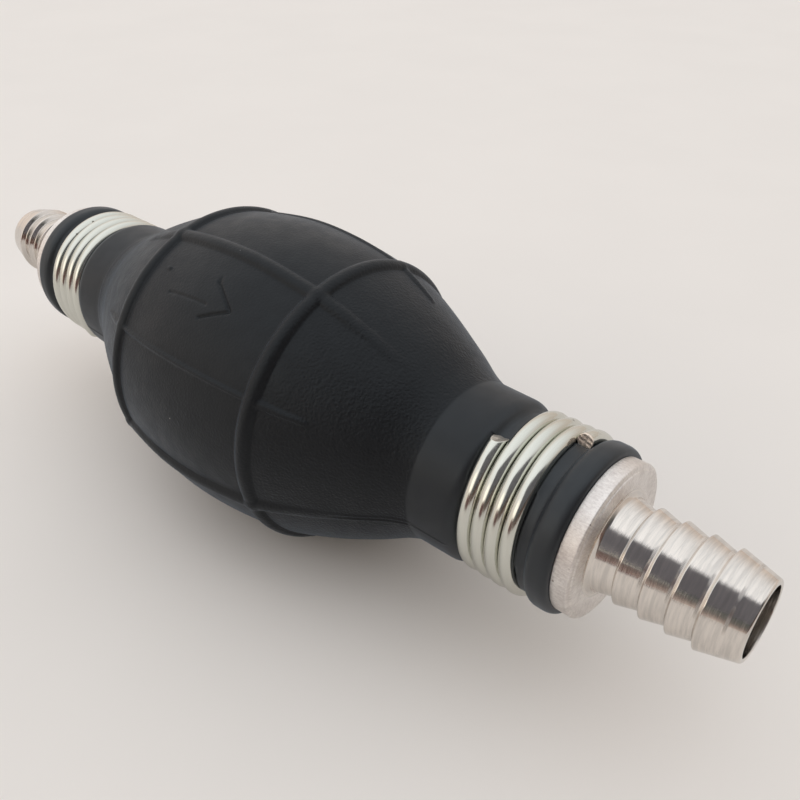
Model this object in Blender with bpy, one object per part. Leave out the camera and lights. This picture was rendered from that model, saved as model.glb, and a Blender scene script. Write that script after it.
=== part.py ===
"""Siphon bulb pump: a rubber squeeze bulb between two aluminium hose fittings.

Each fitting holds a spring-loaded poppet valve, and a wire clamp grips the bulb's neck on it.
The pump lies along X: the liquid enters at -X and leaves at +X. The origin is the bulb's centre
and +Z is up. Lengths below are millimetres; MM turns them into metres.
"Station" means a distance from the bulb's centre along either half of the X axis.
"""

import math

import bmesh
import bpy
from mathutils import Matrix, Vector

MM = 0.001
GAP = 0.3                        # clearance kept between touching pieces

# Stations shared by both ends
FLANGE_FACE = 67.2               # outer face of each flange, where the hose stops
FLANGE_THICK = 2.8
FLANGE_R = 12.0
FLANGE_BACK = FLANGE_FACE - FLANGE_THICK
SPIGOT_END = 45.5                # inner end of each fitting, inside the bulb's neck
SPIGOT_R = 8.0
SPIGOT_GROOVES = (49.5, 53.5, 57.5)
SPIGOT_GROOVE_DEPTH = 0.4
SPIGOT_GROOVE_WIDTH = 1.8
TIP = 88.2                       # hose end of each barb

# Hose barb
CREST_R = 7.4
ROOT_R = 6.5
TIP_R = 6.0
BORE_R = 5.2
NECKING_R = 7.9                  # rounded foot of the barb on the flange
FIRST_CREST = FLANGE_FACE + 3.9
BARB_PITCH = 3.8
BARB_STEP = 0.45                 # length of the steep side of a tooth
CRESTS = 4

# Valve chamber and valve, common to both ends
CHAMBER_R = 6.2
SHOULDER = 65.0                  # outer end of the chamber
SEAT_WEB = 2.0
SEAT_HOLE_R = 3.8
VALVE_LIFT = 2.5
SEAL_THICK = 1.0
SEAL_R = 5.0
SEAL_BORE_R = 1.9
NOSE_R = 1.6                     # poppet's pilot through the seal
HEAD_THICK = 1.8
HEAD_R = 5.3
SPRING_LENGTH = 7.0
SPRING_WIRE_R = 0.3
SPRING_R = 2.5                   # radius of the spring's centre line
SPRING_TURNS = 5.5
DISC_R = CHAMBER_R - GAP
GUIDE_THICK = 1.6
GUIDE_BORE_R = 1.5
STEM_R = 1.2
BOSS_R = 1.9
CIRCLIP_THICK = 1.0
GROOVE_R = 6.9

# Distances from a valve's seat plane, in the direction the poppet opens
HEAD_FRONT = GAP + SEAL_THICK + GAP
HEAD_BACK = HEAD_FRONT + HEAD_THICK
SPRING_START = HEAD_BACK + GAP
GUIDE_START = SPRING_START + SPRING_LENGTH + GAP
GUIDE_END = GUIDE_START + GUIDE_THICK
BOSS_END = GUIDE_START - VALVE_LIFT - GAP
STEM_END = GUIDE_END + 1.9

# Where each valve sits on X
INLET_SEAT_X = -SHOULDER
OUTLET_SEAT_X = SHOULDER - GAP - GUIDE_END
SEAT_RING_THICK = 3.6
INLET_CIRCLIP_X = INLET_SEAT_X + GUIDE_END + GAP
OUTLET_CIRCLIP_X = OUTLET_SEAT_X - SEAT_RING_THICK - GAP - CIRCLIP_THICK

# Rubber bulb
BELLY = [(0.0, 26.6), (10.8, 25.7), (18.0, 24.2), (25.2, 21.3), (32.4, 17.7), (38.0, 14.5)]
WALL = 3.2
RIB_STATION = 16.7
RIB_R = 25.25
RIB_HALF_WIDTH = 1.3
COLLAR_START = 40.3
COLLAR_END = 48.2
COLLAR_R = 13.5
NECK_BORE_R = SPIGOT_R + GAP
BEAD_START = 60.85
BEAD_R = 13.15
BULB_END = FLANGE_BACK - GAP

# Wire clamp
CLAMP_WIRE_R = 1.2
CLAMP_R = 12.2                   # radius of the wire's centre line
CLAMP_PITCH = 2.45
CLAMP_TURNS = 3.92
CLAMP_START = 49.7               # station of the bulb-side cut end
CLAMP_START_DEG = 19.4           # angle of that end from the top, towards -Y
CLAMP_GROOVE_R = CLAMP_R - CLAMP_WIRE_R - GAP
INLET_CLAMP_TURN = 150           # the inlet clamp's extra turn about X, in degrees

# Facets
BULB_SIDES = 32
FITTING_SIDES = 28
SMALL_SIDES = 20
DISC_SIDES = 24
HOLE_SIDES = 10
CLAMP_STEPS = 20                 # per turn
SPRING_STEPS = 10                # per turn


def clear_scene():
    for obj in list(bpy.data.objects):
        bpy.data.objects.remove(obj, do_unlink=True)


def make_material(name, colour, roughness, metallic):
    material = bpy.data.materials.new(name)
    material.use_nodes = True
    shader = material.node_tree.nodes["Principled BSDF"]
    shader.inputs["Base Color"].default_value = (*colour, 1.0)
    shader.inputs["Roughness"].default_value = roughness
    shader.inputs["Metallic"].default_value = metallic
    return material


def add_mesh_object(name, mesh, material):
    mesh.shade_smooth()
    mesh.set_sharp_from_angle(angle=math.radians(35))
    obj = bpy.data.objects.new(name, mesh)
    obj.data.materials.append(material)
    bpy.context.collection.objects.link(obj)
    return obj


def lathe(name, outline, material, sides):
    """Spin a closed outline of (x, radius) points, in millimetres, about the X axis."""
    bm = bmesh.new()
    verts = [bm.verts.new((x * MM, 0.0, radius * MM)) for x, radius in outline]
    edges = [bm.edges.new((a, b)) for a, b in zip(verts, verts[1:] + verts[:1])]
    bmesh.ops.spin(
        bm, geom=verts + edges, cent=(0, 0, 0), axis=(1, 0, 0),
        angle=math.tau, steps=sides, use_merge=True, use_duplicate=False,
    )
    bmesh.ops.remove_doubles(bm, verts=bm.verts, dist=1e-6)
    bmesh.ops.dissolve_degenerate(bm, edges=bm.edges, dist=1e-6)
    bmesh.ops.recalc_face_normals(bm, faces=bm.faces)
    mesh = bpy.data.meshes.new(name)
    bm.to_mesh(mesh)
    bm.free()
    return add_mesh_object(name, mesh, material)


def wire_along(name, points, radius, material, ring_resolution):
    """A round wire with square-cut ends that follows a list of points, in millimetres."""
    curve = bpy.data.curves.new(name, "CURVE")
    curve.dimensions = "3D"
    curve.twist_mode = "MINIMUM"
    curve.bevel_depth = radius * MM
    curve.bevel_resolution = ring_resolution
    curve.use_fill_caps = True
    spline = curve.splines.new("POLY")
    spline.points.add(len(points) - 1)
    for slot, point in zip(spline.points, points):
        slot.co = (*(Vector(point) * MM), 1.0)
    obj = bpy.data.objects.new(name, curve)
    obj.data.materials.append(material)
    bpy.context.collection.objects.link(obj)
    return obj


def helix(start_x, pitch, radius, turns, start_angle, steps_per_turn):
    """Points of a helix about X. Angles run from +Z towards -Y as x grows."""
    count = round(turns * steps_per_turn)
    points = []
    for i in range(count + 1):
        turn = turns * i / count
        angle = start_angle + math.tau * turn
        points.append((start_x + pitch * turn, -radius * math.sin(angle), radius * math.cos(angle)))
    return points


def cut(obj, cutters):
    """Subtract the cutters from obj, leaving them as hidden wire guides."""
    for cutter in cutters:
        modifier = obj.modifiers.new(cutter.name, "BOOLEAN")
        modifier.operation = "DIFFERENCE"
        modifier.object = cutter
        cutter.hide_render = True
        cutter.display_type = "WIRE"


def x_cylinder(name, x_low, x_high, y, z, radius, sides):
    mesh = bpy.data.meshes.new(name)
    bm = bmesh.new()
    bmesh.ops.create_cone(
        bm, cap_ends=True, segments=sides, radius1=radius * MM, radius2=radius * MM,
        depth=(x_high - x_low) * MM,
        matrix=Matrix.Translation(Vector(((x_low + x_high) / 2, y, z)) * MM)
        @ Matrix.Rotation(math.radians(90), 4, "Y"),
    )
    bm.to_mesh(mesh)
    bm.free()
    obj = bpy.data.objects.new(name, mesh)
    bpy.context.collection.objects.link(obj)
    return obj


def smooth_through(points, samples):
    """A Catmull-Rom curve through (station, radius) points, level at the first of them."""
    mirrored = [(-points[1][0], points[1][1])] + points
    after = (2 * points[-1][0] - points[-2][0], 2 * points[-1][1] - points[-2][1])
    knots = mirrored + [after]
    curve = []
    for before, start, end, beyond in zip(knots, knots[1:], knots[2:], knots[3:]):
        for k in range(samples):
            t = k / samples
            curve.append(tuple(
                0.5 * (2 * b + (c - a) * t + (2 * a - 5 * b + 4 * c - d) * t * t
                       + (3 * b - a - 3 * c + d) * t ** 3)
                for a, b, c, d in zip(before, start, end, beyond)
            ))
    return curve + [points[-1]]


def with_hoop_rib(profile):
    """Swap the stretch of profile under the hoop rib for the rib's rounded section."""
    low, high = RIB_STATION - RIB_HALF_WIDTH, RIB_STATION + RIB_HALF_WIDTH
    before = [p for p in profile if p[0] < low - 0.5]
    after = [p for p in profile if p[0] > high + 0.5]
    drop_per_mm = (before[-1][1] - after[0][1]) / (after[0][0] - before[-1][0])
    side = 0.55 * RIB_HALF_WIDTH
    foot = before[-1][1] - drop_per_mm * (low - before[-1][0])
    heel = after[0][1] + drop_per_mm * (after[0][0] - high)
    rib = [(low, foot), (RIB_STATION - side, RIB_R - 0.25), (RIB_STATION, RIB_R),
           (RIB_STATION + side, RIB_R - 0.45), (high, heel)]
    return before + rib + after


def bulb_half_outline():
    """Outer and inner (station, radius) points of one half, both from the middle outwards."""
    belly = smooth_through(BELLY, 2)
    outer = with_hoop_rib(belly) + [
        (COLLAR_START, COLLAR_R + 0.15), (COLLAR_END - 1.2, COLLAR_R),
        (COLLAR_END - 0.3, COLLAR_R - 0.4), (COLLAR_END, COLLAR_R - 1.2),
        (COLLAR_END, CLAMP_GROOVE_R), (BEAD_START, CLAMP_GROOVE_R),
        (BEAD_START, BEAD_R - 0.9), (BEAD_START + 0.8, BEAD_R),
        (BULB_END - 1.0, BEAD_R), (BULB_END, BEAD_R - 1.0),
    ]
    inner = [(s, r - WALL) for s, r in BELLY[:-1]]
    inner += [(39.0, 10.2), (SPIGOT_END - 1.5, NECK_BORE_R), (BULB_END, NECK_BORE_R)]
    return outer, inner


def build_bulb(rubber):
    outer, inner = bulb_half_outline()
    top = [(-s, r) for s, r in reversed(outer[1:])] + outer
    bottom = [(s, r) for s, r in reversed(inner)] + [(-s, r) for s, r in inner[1:]]
    lathe("bulb", top + bottom, rubber, BULB_SIDES)


def barb_outline():
    """Outer (station, radius) points from the flange face to the hose end."""
    points = [(FLANGE_FACE, NECKING_R), (FLANGE_FACE + 0.45, CREST_R - 0.05)]
    for tooth in range(CRESTS):
        crest = FIRST_CREST + tooth * BARB_PITCH
        points += [(crest - BARB_STEP, ROOT_R), (crest, CREST_R)]
    return points + [(TIP - 0.2, TIP_R), (TIP, TIP_R - 0.2)]


def spigot_outline():
    """Outer (station, radius) points from the spigot's inner end to the flange's back."""
    depth, width = SPIGOT_GROOVE_DEPTH, SPIGOT_GROOVE_WIDTH
    points = [(SPIGOT_END, SPIGOT_R - 0.5), (SPIGOT_END + 0.5, SPIGOT_R)]
    for groove in SPIGOT_GROOVES:
        points += [(groove, SPIGOT_R), (groove + depth, SPIGOT_R - depth),
                   (groove + width - depth, SPIGOT_R - depth), (groove + width, SPIGOT_R)]
    return points + [(FLANGE_BACK, SPIGOT_R)]


def build_fitting(name, side, circlip_station, aluminium):
    """One turned piece: barb, flange and spigot, with the valve chamber bored in the spigot."""
    flange = [(FLANGE_BACK, FLANGE_R), (FLANGE_FACE - 0.35, FLANGE_R),
              (FLANGE_FACE, FLANGE_R - 0.35)]
    groove_low = circlip_station - GAP
    groove_high = circlip_station + CIRCLIP_THICK + GAP
    hollow = [(TIP, BORE_R), (SHOULDER + SEAT_WEB, BORE_R), (SHOULDER + SEAT_WEB, SEAT_HOLE_R),
              (SHOULDER, SEAT_HOLE_R), (SHOULDER, CHAMBER_R), (groove_high, CHAMBER_R),
              (groove_high, GROOVE_R), (groove_low, GROOVE_R), (groove_low, CHAMBER_R),
              (SPIGOT_END, CHAMBER_R)]
    outline = spigot_outline() + flange + barb_outline() + hollow
    lathe(name, [(side * s, r) for s, r in outline], aluminium, FITTING_SIDES)


def build_clamp(name, side, extra_turn, steel):
    """The wire clamp; the far one is the same spring turned about Z, then about X."""
    start = math.radians(CLAMP_START_DEG)
    points = helix(CLAMP_START, CLAMP_PITCH, CLAMP_R, CLAMP_TURNS, start, CLAMP_STEPS)
    turn = Matrix.Rotation(extra_turn, 3, "X")
    if side < 0:
        turn = turn @ Matrix.Rotation(math.pi, 3, "Z")
    wire_along(name, [turn @ Vector(p) for p in points], CLAMP_WIRE_R, steel, 2)


def build_poppet(end, seat_x, plastic, rubber):
    """A poppet that opens towards +X, and the washer that seals its face."""
    nose = [(-0.4, 0.0), (-0.4, NOSE_R - 0.4), (0.0, NOSE_R), (HEAD_FRONT, NOSE_R)]
    head = [(HEAD_FRONT, HEAD_R), (HEAD_BACK - 0.5, HEAD_R), (HEAD_BACK, HEAD_R - 0.5)]
    stem = [(HEAD_BACK, BOSS_R), (BOSS_END, BOSS_R), (BOSS_END, STEM_R),
            (STEM_END - 0.4, STEM_R), (STEM_END, STEM_R - 0.4), (STEM_END, 0.0)]
    outline = [(seat_x + x, r) for x, r in nose + head + stem]
    lathe(end + "_poppet", outline, plastic, SMALL_SIDES)
    low, high = GAP, GAP + SEAL_THICK
    washer = [(low, SEAL_BORE_R), (low, SEAL_R - 0.3), (low + 0.3, SEAL_R), (high, SEAL_R),
              (high, SEAL_BORE_R)]
    lathe(end + "_poppet_seal", [(seat_x + x, r) for x, r in washer], rubber, SMALL_SIDES)


def build_valve_spring(end, seat_x, steel):
    pitch = (SPRING_LENGTH - 2 * SPRING_WIRE_R) / SPRING_TURNS
    points = helix(seat_x + SPRING_START + SPRING_WIRE_R, pitch, SPRING_R, SPRING_TURNS, 0.0,
                   SPRING_STEPS)
    wire_along(end + "_valve_spring", points, SPRING_WIRE_R, steel, 1)


def build_guide_disc(name, x_low, plastic):
    """A disc with a centre hole for the stem and a ring of flow holes."""
    holes, hole_r, hole_circle_r = 6, 1.1, 4.3
    x_high = x_low + GUIDE_THICK
    section = [(x_low, GUIDE_BORE_R), (x_low, DISC_R), (x_high, DISC_R), (x_high, GUIDE_BORE_R)]
    disc = lathe(name, section, plastic, DISC_SIDES)
    cutters = []
    for k in range(holes):
        angle = math.tau * k / holes
        cutters.append(x_cylinder(
            f"{name}_cutter_{k}", x_low - 1, x_high + 1,
            hole_circle_r * math.cos(angle), hole_circle_r * math.sin(angle), hole_r, HOLE_SIDES))
    cut(disc, cutters)


def build_circlip(name, x_low, steel):
    """A flat internal retaining ring, open over 50 degrees, with a lug at each end."""
    outer_r, inner_r, lug_r = GROOVE_R - GAP, 5.5, 4.4
    open_half, lug_half, steps = math.radians(25), math.radians(14), 20
    sweep = math.tau - 2 * open_half
    bm = bmesh.new()
    rim = []
    for i in range(steps + 1):
        angle = open_half + sweep * i / steps
        from_end = min(sweep * i, sweep * (steps - i)) / steps
        inside = lug_r if from_end < lug_half else inner_r
        rim.append([(r * math.cos(angle), r * math.sin(angle)) for r in (outer_r, inside)])
    loop = [p[0] for p in rim] + [p[1] for p in reversed(rim)]
    verts = [bm.verts.new((x_low * MM, y * MM, z * MM)) for y, z in loop]
    count = len(rim)
    faces = [bm.faces.new((verts[i], verts[i + 1], verts[2 * count - 2 - i],
                           verts[2 * count - 1 - i])) for i in range(count - 1)]
    raised = bmesh.ops.extrude_face_region(bm, geom=faces)
    moved = [v for v in raised["geom"] if isinstance(v, bmesh.types.BMVert)]
    bmesh.ops.translate(bm, verts=moved, vec=(CIRCLIP_THICK * MM, 0, 0))
    bmesh.ops.recalc_face_normals(bm, faces=bm.faces)
    mesh = bpy.data.meshes.new(name)
    bm.to_mesh(mesh)
    bm.free()
    add_mesh_object(name, mesh, steel)


def build_outlet_seat(plastic, rubber):
    """The seat ring pushed into the outlet chamber, and the O-ring in its outer groove."""
    low, high = OUTLET_SEAT_X - SEAT_RING_THICK, OUTLET_SEAT_X
    cord_r = 0.35
    groove_r = DISC_R - 1.0
    groove_low, groove_high = (low + high) / 2 - 0.65, (low + high) / 2 + 0.65
    ring = [(low, SEAT_HOLE_R), (low, DISC_R), (groove_low, DISC_R), (groove_low, groove_r),
            (groove_high, groove_r), (groove_high, DISC_R), (high, DISC_R), (high, SEAT_HOLE_R)]
    lathe("outlet_seat_ring", ring, plastic, DISC_SIDES)
    centre_r = DISC_R - cord_r
    cord = [((low + high) / 2 + cord_r * math.cos(math.tau * k / 8),
             centre_r + cord_r * math.sin(math.tau * k / 8)) for k in range(8)]
    lathe("outlet_seat_o_ring", cord, rubber, DISC_SIDES)


def main():
    clear_scene()
    bulb_rubber = make_material("bulb_rubber", (0.018, 0.019, 0.021), 0.62, 0.0)
    seal_rubber = make_material("seal_rubber", (0.02, 0.02, 0.02), 0.5, 0.0)
    aluminium = make_material("turned_aluminium", (0.78, 0.78, 0.77), 0.3, 1.0)
    zinc_wire = make_material("zinc_plated_wire", (0.72, 0.72, 0.66), 0.28, 1.0)
    spring_steel = make_material("spring_steel", (0.55, 0.55, 0.55), 0.3, 1.0)
    nylon = make_material("white_nylon", (0.82, 0.81, 0.76), 0.45, 0.0)

    build_bulb(bulb_rubber)
    inlet_clip_station = -INLET_CIRCLIP_X - CIRCLIP_THICK
    build_fitting("inlet_fitting", -1, inlet_clip_station, aluminium)
    build_fitting("outlet_fitting", 1, OUTLET_CIRCLIP_X, aluminium)
    build_clamp("inlet_clamp", -1, math.radians(INLET_CLAMP_TURN), zinc_wire)
    build_clamp("outlet_clamp", 1, 0.0, zinc_wire)
    for end, seat_x in (("inlet", INLET_SEAT_X), ("outlet", OUTLET_SEAT_X)):
        build_poppet(end, seat_x, nylon, seal_rubber)
        build_valve_spring(end, seat_x, spring_steel)
    build_guide_disc("inlet_spring_retainer", INLET_SEAT_X + GUIDE_START, nylon)
    build_guide_disc("outlet_stem_guide", OUTLET_SEAT_X + GUIDE_START, nylon)
    build_circlip("inlet_retaining_ring", INLET_CIRCLIP_X, spring_steel)
    build_circlip("outlet_retaining_ring", OUTLET_CIRCLIP_X, spring_steel)
    build_outlet_seat(nylon, seal_rubber)


main()
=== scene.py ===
"""Siphon bulb pump: the visual model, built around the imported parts.

The pump lies along X, with the outlet barb at +X. Lengths are millimetres unless a name says
otherwise, and MM turns them into metres. A station is a distance from the bulb's centre along
either half of X. Angles about X run from +Z (the top) towards -Y, in degrees.
"""

import math

import bmesh
import bpy
import numpy as np
from mathutils import Matrix, Vector


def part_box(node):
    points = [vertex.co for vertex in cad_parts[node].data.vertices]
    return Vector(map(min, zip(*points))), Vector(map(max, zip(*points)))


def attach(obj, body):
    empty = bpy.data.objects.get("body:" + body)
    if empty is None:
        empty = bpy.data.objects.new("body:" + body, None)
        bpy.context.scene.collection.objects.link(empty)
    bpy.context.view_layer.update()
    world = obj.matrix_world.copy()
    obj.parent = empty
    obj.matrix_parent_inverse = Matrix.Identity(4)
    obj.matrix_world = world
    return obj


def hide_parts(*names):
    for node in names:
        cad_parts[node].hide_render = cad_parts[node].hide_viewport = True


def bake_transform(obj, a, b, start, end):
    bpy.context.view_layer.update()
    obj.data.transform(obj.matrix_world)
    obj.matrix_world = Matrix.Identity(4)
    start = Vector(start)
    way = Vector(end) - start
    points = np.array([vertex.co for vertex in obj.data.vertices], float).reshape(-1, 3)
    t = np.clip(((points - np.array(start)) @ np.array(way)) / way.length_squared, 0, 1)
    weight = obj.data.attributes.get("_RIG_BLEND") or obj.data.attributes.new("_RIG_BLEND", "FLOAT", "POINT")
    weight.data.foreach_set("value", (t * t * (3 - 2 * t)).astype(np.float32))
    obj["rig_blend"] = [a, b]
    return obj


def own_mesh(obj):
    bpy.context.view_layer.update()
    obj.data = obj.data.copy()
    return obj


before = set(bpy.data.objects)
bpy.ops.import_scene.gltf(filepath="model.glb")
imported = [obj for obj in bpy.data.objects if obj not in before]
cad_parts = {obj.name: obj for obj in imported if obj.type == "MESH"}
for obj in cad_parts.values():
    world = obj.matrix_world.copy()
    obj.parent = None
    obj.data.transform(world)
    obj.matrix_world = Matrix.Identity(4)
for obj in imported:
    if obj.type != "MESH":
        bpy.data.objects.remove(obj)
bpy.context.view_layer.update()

MM = 0.001

# Taken from the frame
BULB_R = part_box("bulb")[1].z / MM
FLANGE_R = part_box("outlet_fitting")[1].z / MM
TABLE_Z = -BULB_R

# Rubber bulb: the outline's driving points as (station, radius)
BELLY = [(0.0, BULB_R), (10.8, 25.7), (18.0, 24.2), (25.2, 21.3), (32.4, 17.7), (38.0, 14.5)]
COLLAR_START = 40.3
COLLAR_R = 13.5
COLLAR_TAPER, COLLAR_TAPER_RUN = 0.1, 6      # its slight draft: how much, and over what length
COLLAR_ROUND = 46.9              # where the collar's end starts to round down
COLLAR_END = 48.9
NECK_R = 12.0
NECK_SWELL = 0.2                 # how far the neck rises beside the clamp's wire
NECK_SWELL_WIDTH = 0.5
BEAD_START = 60.5
BEAD_CREST = 61.9
BEAD_TURN = 62.9
BEAD_R = 13.15
BEAD_END = 64.35                 # just short of the flange
BEAD_EDGE = 0.7                  # how far the bead rounds in at the flange
WALL = 3.2
NECK_BORE_R = 8.3
BORE_TAPER = (36.0, 44.0)        # stations where the bore narrows from the belly to the neck
BORE_ROWS = 18

# Slight waves of the moulded belly: height, radians per millimetre along X, start in radians,
# waves round X, start in degrees
WAVES = [(0.05, 0.21, 1.3, 3, 20), (0.04, 0.37, 0.0, 5, 0)]
WAVES_SINK = 0.09                # keeps the highest waves inside the CAD outline
WAVES_END = (30, 40)             # stations where the waves run out

# Ribs and lines moulded on the belly
HOOP_STATION, HOOP_HALF, HOOP_HEIGHT = 16.7, 1.35, 0.85
STRONG_RIB_ANGLES = (16.5, 106.5, 196.5, 286.5)
FINE_RIB_ANGLES = (61.5, 151.5, 241.5, 331.5)
PARTING_ANGLES = (106.5, 286.5)
STRONG_HALF, STRONG_HEIGHT = 1.35, 0.8
STUB_END = 33.0                  # strong ribs run out here, on the shoulders
STUB_WIDTH = 0.7                 # share of their width that they keep there
STUB_WANDER = 0.1
FINE_HALF, FINE_HEIGHT = 0.5, 0.36
BAR_HALF, BAR_HEIGHT, BAR_END = 0.85, 0.5, 25.7
BAR_TAPER = 0.45
PARTING_END = 40.9
PARTING_OFFSET = 0.42            # of each of the two lines on the shoulders
TWIN_SHARE = 1.3                 # their height, as a share of the single line's
LINE_HALF, LINE_HEIGHT = 0.26, 0.14

# Steps of the bulb's mesh, in millimetres along X and in degrees round it
ROW_STEPS = {"bead edge": 0.14, "neck": 0.36, "hoop": 0.22, "bar end": 0.25, "mark": 0.24,
             "plain": 0.85}
COLUMN_STEPS = {"mark": 0.45, "parting line": 0.35, "rib": 0.6, "plain": 1.6}
ARROW_ROWS = (-8.0, 7.1)         # x across the arrow
MARK_COLUMNS = (29, 46)          # angles across the arrow and the pimple

# Flow arrow, engraved: strokes as (x, angle) of both ends, and depth
ARROW_STROKES = [((-7.5, 40.2), (1.5, 39.2), 0.2),
                 ((1.1, 30.3), (6.6, 37.2), 0.38),
                 ((6.6, 37.2), (1.6, 44.2), 0.38)]
ARROW_HALF = 0.28
PIMPLE_PLACE = (-11.3, 32.9)     # x and angle
PIMPLE_HALF, PIMPLE_HEIGHT = 0.42, 0.3

# Wire clamp
WIRE_R = 1.19
CLAMP_R = 12.2                   # radius of the wire's centre line
CLAMP_PITCH = 2.45
CLAMP_TURNS = 3.92
CLAMP_START = 49.7
CLAMP_START_DEG = 19.4
INLET_CLAMP_TURN = 150           # the inlet clamp is the same coil, turned about X by this
CLAMP_LENGTH = CLAMP_TURNS * math.tau * CLAMP_R
END_LIFT, END_LIFT_REACH = 0.5, 5.0  # how far a cut end springs off the rubber, and over what length
END_DISH = 0.06                  # hollow of a cut end
WANDER_R, WANDER_X = 0.03, 0.02  # unevenness of the winding
CUT_SLOPE, CUT_REACH = 1.15, 6.0     # the oblique cut: its slope, and the wire reshaped behind it
CUT_BARE = 0.6                   # how bare of zinc the oblique cut is; the sheared end is all bare
SHEAR_LUMPS = 0.1                # height of the lumps on the sheared end
SHEAR_REACH = (0.05, 0.5)        # distances from the sheared end over which the lumps run out
# Lumps: share, and two directions with radians per metre; and the way they push the surface
LUMPS = [(1.0, (5100, 3700, 4300), (-2900, 6100, 2300)),
         (0.5, (7100, -5300, 4400), (3900, 4100, -6300))]
LUMP_PUSH = np.array([0.3, -0.8, 0.4])
SEAT_GAP = 0.03                  # between the wire and the rubber it presses in
CLEAR_OF_WIRE = 99.0             # a seat radius that presses nothing in
WIRE_SIDES = 32
RING_GAP, END_RING_GAP = 0.6, 0.12   # spacing of the rings along the wire, and near its ends
END_RINGS = np.array([0.94, 0.8, 0.6, 0.4, 0.2, 0.0])   # sizes of the rings that close an end

# Valve springs
SPRING_WIRE_R = 0.3
SPRING_TURNS = 6.5
SPRING_CLOSED_TURNS = 0.8        # turns wound closed at each end
SPRING_CLOSED_SHARE = 0.09       # share of the length that they take
SPRING_SIDES = 12
SPRING_ROWS = 40                 # rings of the mesh in one turn

# Fittings
TURNED_SIDES = 160
SMALL_SIDES = 72
EDGE_ROUND = 0.12
BEVEL_FROM = 50                  # degrees; the kept CAD solids are bevelled at sharper edges
NEARLY_STRAIGHT = 172            # degrees; an outline's corner that is flatter stays as it is
FLANGE_FACE = 67.2
FLANGE_BACK = 64.4
FIRST_CREST = 71.1
BARB_PITCH = 3.8
CHATTER_ROUND, CHATTER_ALONG = 250.0, 16.0   # tool marks: radians per radian, and per millimetre
SATIN_FROM = (8.2, 8.6)          # radii where the flange's satin finish begins
RIM_STEP, RIM_STEP_DEPTH = 0.45, 0.18    # fine step where the flange's face meets its rim
RIM_STEP_SLOPE = 0.08

# Bulb squeeze
SQUEEZE_REACH = (2.0, 40.0)      # stations where the dent starts to run out, and has run out

# Camera, in millimetres and degrees
CAMERA_PLACE = (102.709, -84.472, 84.739)
CAMERA_AZIMUTH, CAMERA_ELEVATION = 41.84, 34.92
CAMERA_LENS, CAMERA_SENSOR = 38.7, 36.0

NOISE_RANGE = (0.3, 0.7)         # where most of a noise's values lie

# Leathery grain of the belly
GRAIN_SCALE = 2.5                # pebbles in a millimetre
GRAIN_DEPTH = 0.085

# Colours, in linear RGBA; where there are two, a noise mixes them
BELLY_BLACKS = (0.0052, 0.0049, 0.0056, 1), (0.0078, 0.0074, 0.0082, 1)
COLLAR_BLACKS = (0.0110, 0.0110, 0.0122, 1), (0.0138, 0.0136, 0.0146, 1)
# Bluish tints of the rubber's gloss and sheen: painted sky light, a blue cast put on its reflections
PAINTED_SKY_GLOSS_TINT, PAINTED_SKY_SHEEN_TINT = (0.84, 0.93, 1.0, 1), (0.55, 0.75, 1.0, 1)
DUST = (0.5, 0.49, 0.47, 1)
SEAL_BLACKS = (0.012, 0.012, 0.012, 1), (0.026, 0.026, 0.027, 1)
BRIGHT_ALUMINIUM = (0.67, 0.63, 0.59, 1), (0.84, 0.785, 0.73, 1)
SATIN_ALUMINIUM = (0.67, 0.62, 0.59, 1), (0.96, 0.92, 0.885, 1)
PITS = (0.35, 0.3, 0.27, 1)
ZINC = (0.63, 0.635, 0.575, 1), (0.75, 0.75, 0.69, 1)
BARE_WIRE = (0.98, 0.87, 0.77, 1)
WIRE_MARKS = (0.2, 0.18, 0.15, 1)
STEEL = (0.52, 0.52, 0.53, 1), (0.66, 0.66, 0.66, 1)
NYLON = (0.76, 0.74, 0.67, 1), (0.84, 0.83, 0.78, 1)

# The room's light: directions as azimuth and elevation, and patches as azimuth, elevation,
# half width, half height (all in degrees) and softness
ROOM_LOW, ROOM_HIGH = (0.73, 0.64, 0.57, 1), (0.96, 0.98, 1.0, 1)
LIGHT_SIDE = (-50, 20)
LIGHT_GAIN = (0.84, 1.12)        # away from the light side, and towards it
DARK_PATCH = (62, 20, 52, 27, 0.22)
DARK_LOW, DARK_HIGH = (0.13, 0.075, 0.062, 1), (0.085, 0.09, 0.085, 1)
WINDOW_PATCH = (-12, 24, 17, 12, 0.3)
WINDOW = (1.6, 1.48, 1.32, 1)
BACKDROP = (0.76, 0.74, 0.71, 1)     # what the camera sees beyond the table
LIGHT_STRENGTH = 1.05

# The table
TABLE_SIZE = 6000
TABLE_COLOUR = (0.90, 0.855, 0.815)
TABLE_MIRRORED = 0.86            # how bright it looks in reflections: people and cards shade it

# Cards that are seen only as reflections: a grey one beside the camera, and a brown one that
# stands on the table in front
CARD_EDGE = 18                   # width of their soft edges
GREY_WIDTH, GREY_HEIGHT = 205, 120
GREY_BEHIND, GREY_RIGHT, GREY_UP = 6, 55, 4     # from the camera
GREY = (0.17, 0.175, 0.205)
BROWN_AZIMUTH, BROWN_DISTANCE = 10, 280
BROWN_WIDTH, BROWN_HEIGHT = 190, 110
BROWN = (0.15, 0.07, 0.066)


# ---------------------------------------------------------------- node helpers

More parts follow.
